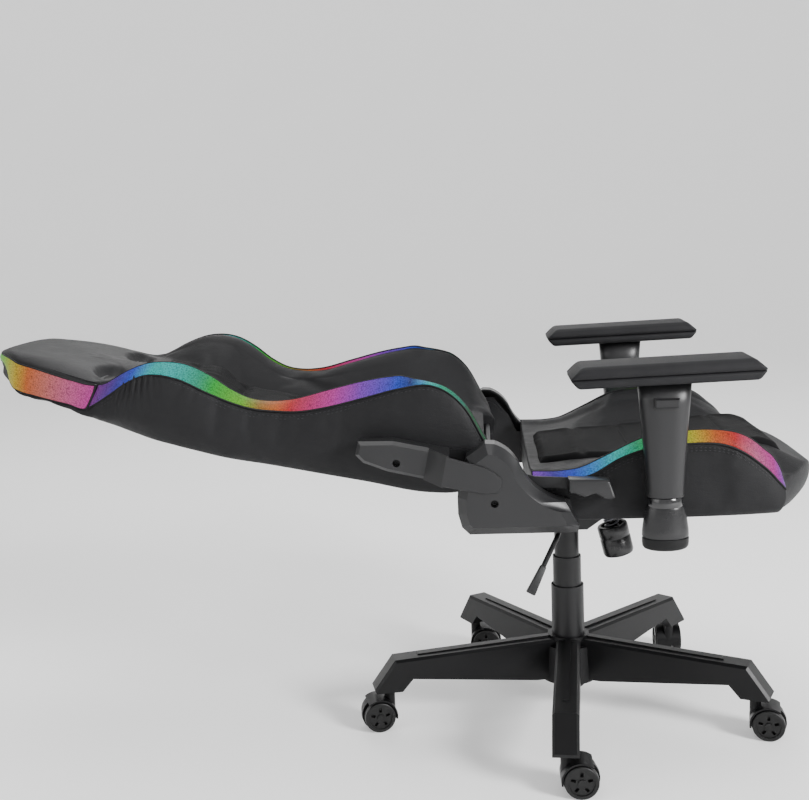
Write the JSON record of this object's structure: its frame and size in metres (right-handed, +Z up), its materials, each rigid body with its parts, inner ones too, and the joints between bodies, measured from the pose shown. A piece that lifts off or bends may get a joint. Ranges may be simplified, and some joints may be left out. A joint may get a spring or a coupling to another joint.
{
  "type": "gaming chair",
  "caption": "Reclining gaming chair with bolstered seat and backrest, light strips, height-adjustable armrests, gas lift and castered star base.",
  "frame": {"origin": "on the floor, on the axis of the gas lift", "axes": "+Z up, the chair faces -Y, the sitter's left is +X; the backrest is laid back towards +Y"},
  "size_m": [0.6401, 1.3054, 0.6429],
  "materials": {
    "nylon": "satin black nylon",
    "wheel_nylon": "satin black nylon",
    "black_steel": "satin black powder coat",
    "bright_steel": "ground steel",
    "column_plastic": "satin black moulding",
    "cover_plastic": "satin charcoal moulding",
    "post_plastic": "satin dark grey moulding",
    "pad_foam": "matte polyurethane skin",
    "upholstery": "black synthetic leather over foam, satin",
    "webbing": "woven elastic",
    "light_strip": "diffusing woven light strip",
    "spring_steel": "oiled spring steel"
  },
  "bodies": {
    "base": {"star_base": "nylon", "caster_stems": "bright_steel", "lift_outer_tube": "black_steel", "lower_column_cover": "column_plastic"},
    "lift_rod": {"lift_piston_rod": "bright_steel"},
    "middle_cover": {"middle_column_cover": "column_plastic"},
    "carrier": {"lift_inner_cylinder": "bright_steel", "upper_column_cover": "column_plastic", "mechanism_housing": "black_steel", "tilt_pin": "bright_steel", "tension_spring": "spring_steel"},
    "lift_lever": {"lift_lever": "black_steel", "lift_lever_grip": "cover_plastic"},
    "tension_knob": {"tension_knob": "column_plastic"},
    "seat": {"seat_plate": "black_steel", "seat_frame": "black_steel", "seat_webbing": "webbing", "seat_cushion": "upholstery", "recliner_spring": "spring_steel", "seat_cover_screws": "bright_steel", "seat_light_left": "light_strip", "seat_hinge_plate_left": "black_steel", "seat_hinge_cover_left": "cover_plastic", "arm_bracket_left": "black_steel", "arm_post_left": "post_plastic", "seat_light_right": "light_strip", "seat_hinge_plate_right": "black_steel", "seat_hinge_cover_right": "cover_plastic", "arm_bracket_right": "black_steel", "arm_post_right": "post_plastic"},
    "recline_lever": {"recline_lever": "black_steel", "recline_lever_grip": "cover_plastic"},
    "back": {"back_frame": "black_steel", "back_cushion": "upholstery", "recline_rod": "bright_steel", "back_cover_screws": "bright_steel", "back_light_left": "light_strip", "back_hinge_plate_left": "black_steel", "back_hinge_cover_left": "cover_plastic", "back_light_right": "light_strip", "back_hinge_plate_right": "black_steel", "back_hinge_cover_right": "cover_plastic"},
    "arm_left": {"arm_pad_left": "pad_foam", "arm_plate_left": "post_plastic", "arm_sleeve_left": "post_plastic"},
    "trigger_left": {"arm_trigger_left": "cover_plastic"},
    "arm_right": {"arm_pad_right": "pad_foam", "arm_plate_right": "post_plastic", "arm_sleeve_right": "post_plastic"},
    "trigger_right": {"arm_trigger_right": "cover_plastic"},
    "caster_1": {"caster_hood_1": "nylon"},
    "wheels_1": {"caster_wheels_1": "wheel_nylon"},
    "caster_2": {"caster_hood_2": "nylon"},
    "wheels_2": {"caster_wheels_2": "wheel_nylon"},
    "caster_3": {"caster_hood_3": "nylon"},
    "wheels_3": {"caster_wheels_3": "wheel_nylon"},
    "caster_4": {"caster_hood_4": "nylon"},
    "wheels_4": {"caster_wheels_4": "wheel_nylon"},
    "caster_5": {"caster_hood_5": "nylon"},
    "wheels_5": {"caster_wheels_5": "wheel_nylon"}
  },
  "joints": [
    {"name": "seat_swivel", "type": "hinge", "parent": "base", "child": "lift_rod", "pos_m": [0, 0, 0.2], "axis": [0, 0, 1], "continuous": true},
    {"name": "seat_height", "type": "slide", "parent": "lift_rod", "child": "carrier", "axis": [0, 0, 1], "range_m": [-0.06, 0.02]},
    {"name": "cover_telescope", "type": "slide", "parent": "base", "child": "middle_cover", "axis": [0, 0, 1], "range_m": [-0.031, 0.011]},
    {"name": "lift_lever_pull", "type": "hinge", "parent": "carrier", "child": "lift_lever", "pos_m": [-0.0495, 0.01, 0.334], "axis": [0, 1, 0], "range_deg": [0, 8], "stiffness_Nm_per_rad": 3, "springref_deg": -8.59},
    {"name": "seat_rock", "type": "hinge", "parent": "carrier", "child": "seat", "pos_m": [0, -0.042, 0.352], "axis": [-1, 0, 0], "range_deg": [0, 12], "stiffness_Nm_per_rad": 160, "springref_deg": -28.65, "deforming": ["tension_spring"]},
    {"name": "tension_turn", "type": "hinge", "parent": "seat", "child": "tension_knob", "pos_m": [0, -0.086, 0.264], "axis": [0, 0.2198, 0.9755], "range_deg": [-720, 720]},
    {"name": "back_recline", "type": "hinge", "parent": "seat", "child": "back", "pos_m": [0, 0.125, 0.46], "axis": [1, 0, 0], "range_deg": [0, 60]},
    {"name": "recline_lever_pull", "type": "hinge", "parent": "seat", "child": "recline_lever", "pos_m": [-0.239, 0.125, 0.46], "axis": [-1, 0, 0], "range_deg": [0, 20], "stiffness_Nm_per_rad": 2, "springref_deg": -14.32},
    {"name": "arm_height_left", "type": "slide", "parent": "seat", "child": "arm_left", "axis": [0, 0, 1], "range_m": [0, 0.07]},
    {"name": "arm_trigger_left", "type": "slide", "parent": "arm_left", "child": "trigger_left", "axis": [-1, 0, 0], "range_m": [0, 0.004], "stiffness_N_per_m": 400, "springref_m": -0.005},
    {"name": "arm_height_right", "type": "slide", "parent": "seat", "child": "arm_right", "axis": [0, 0, 1], "range_m": [0, 0.07]},
    {"name": "arm_trigger_right", "type": "slide", "parent": "arm_right", "child": "trigger_right", "axis": [1, 0, 0], "range_m": [0, 0.004], "stiffness_N_per_m": 400, "springref_m": -0.005},
    {"name": "caster_swivel_1", "type": "hinge", "parent": "base", "child": "caster_1", "pos_m": [-0.30377, 0.02732, 0.05], "axis": [0, 0, 1], "continuous": true},
    {"name": "wheel_spin_1", "type": "hinge", "parent": "caster_1", "child": "wheels_1", "pos_m": [-0.30377, 0.00732, 0.025], "axis": [1, 0, 0], "continuous": true},
    {"name": "caster_swivel_2", "type": "hinge", "parent": "base", "child": "caster_2", "pos_m": [-0.11986, -0.28046, 0.05], "axis": [0, 0, 1], "continuous": true},
    {"name": "wheel_spin_2", "type": "hinge", "parent": "caster_2", "child": "wheels_2", "pos_m": [-0.12402, -0.30002, 0.025], "axis": [0.9781, -0.2079, 0], "continuous": true},
    {"name": "caster_swivel_3", "type": "hinge", "parent": "base", "child": "caster_3", "pos_m": [0.2297, -0.20066, 0.05], "axis": [0, 0, 1], "continuous": true},
    {"name": "wheel_spin_3", "type": "hinge", "parent": "caster_3", "child": "wheels_3", "pos_m": [0.2497, -0.20066, 0.025], "axis": [0, 1, 0], "continuous": true},
    {"name": "caster_swivel_4", "type": "hinge", "parent": "base", "child": "caster_4", "pos_m": [0.26182, 0.15645, 0.05], "axis": [0, 0, 1], "continuous": true},
    {"name": "wheel_spin_4", "type": "hinge", "parent": "caster_4", "child": "wheels_4", "pos_m": [0.26112, 0.13646, 0.025], "axis": [0.9994, -0.0349, 0], "continuous": true},
    {"name": "caster_swivel_5", "type": "hinge", "parent": "base", "child": "caster_5", "pos_m": [-0.06788, 0.29735, 0.05], "axis": [0, 0, 1], "continuous": true},
    {"name": "wheel_spin_5", "type": "hinge", "parent": "caster_5", "child": "wheels_5", "pos_m": [-0.07306, 0.31667, 0.025], "axis": [-0.9659, -0.2588, 0], "continuous": true}
  ],
  "couplings": [
    {"joint": "cover_telescope", "follows": "seat_height", "ratio": 0.5}
  ]
}
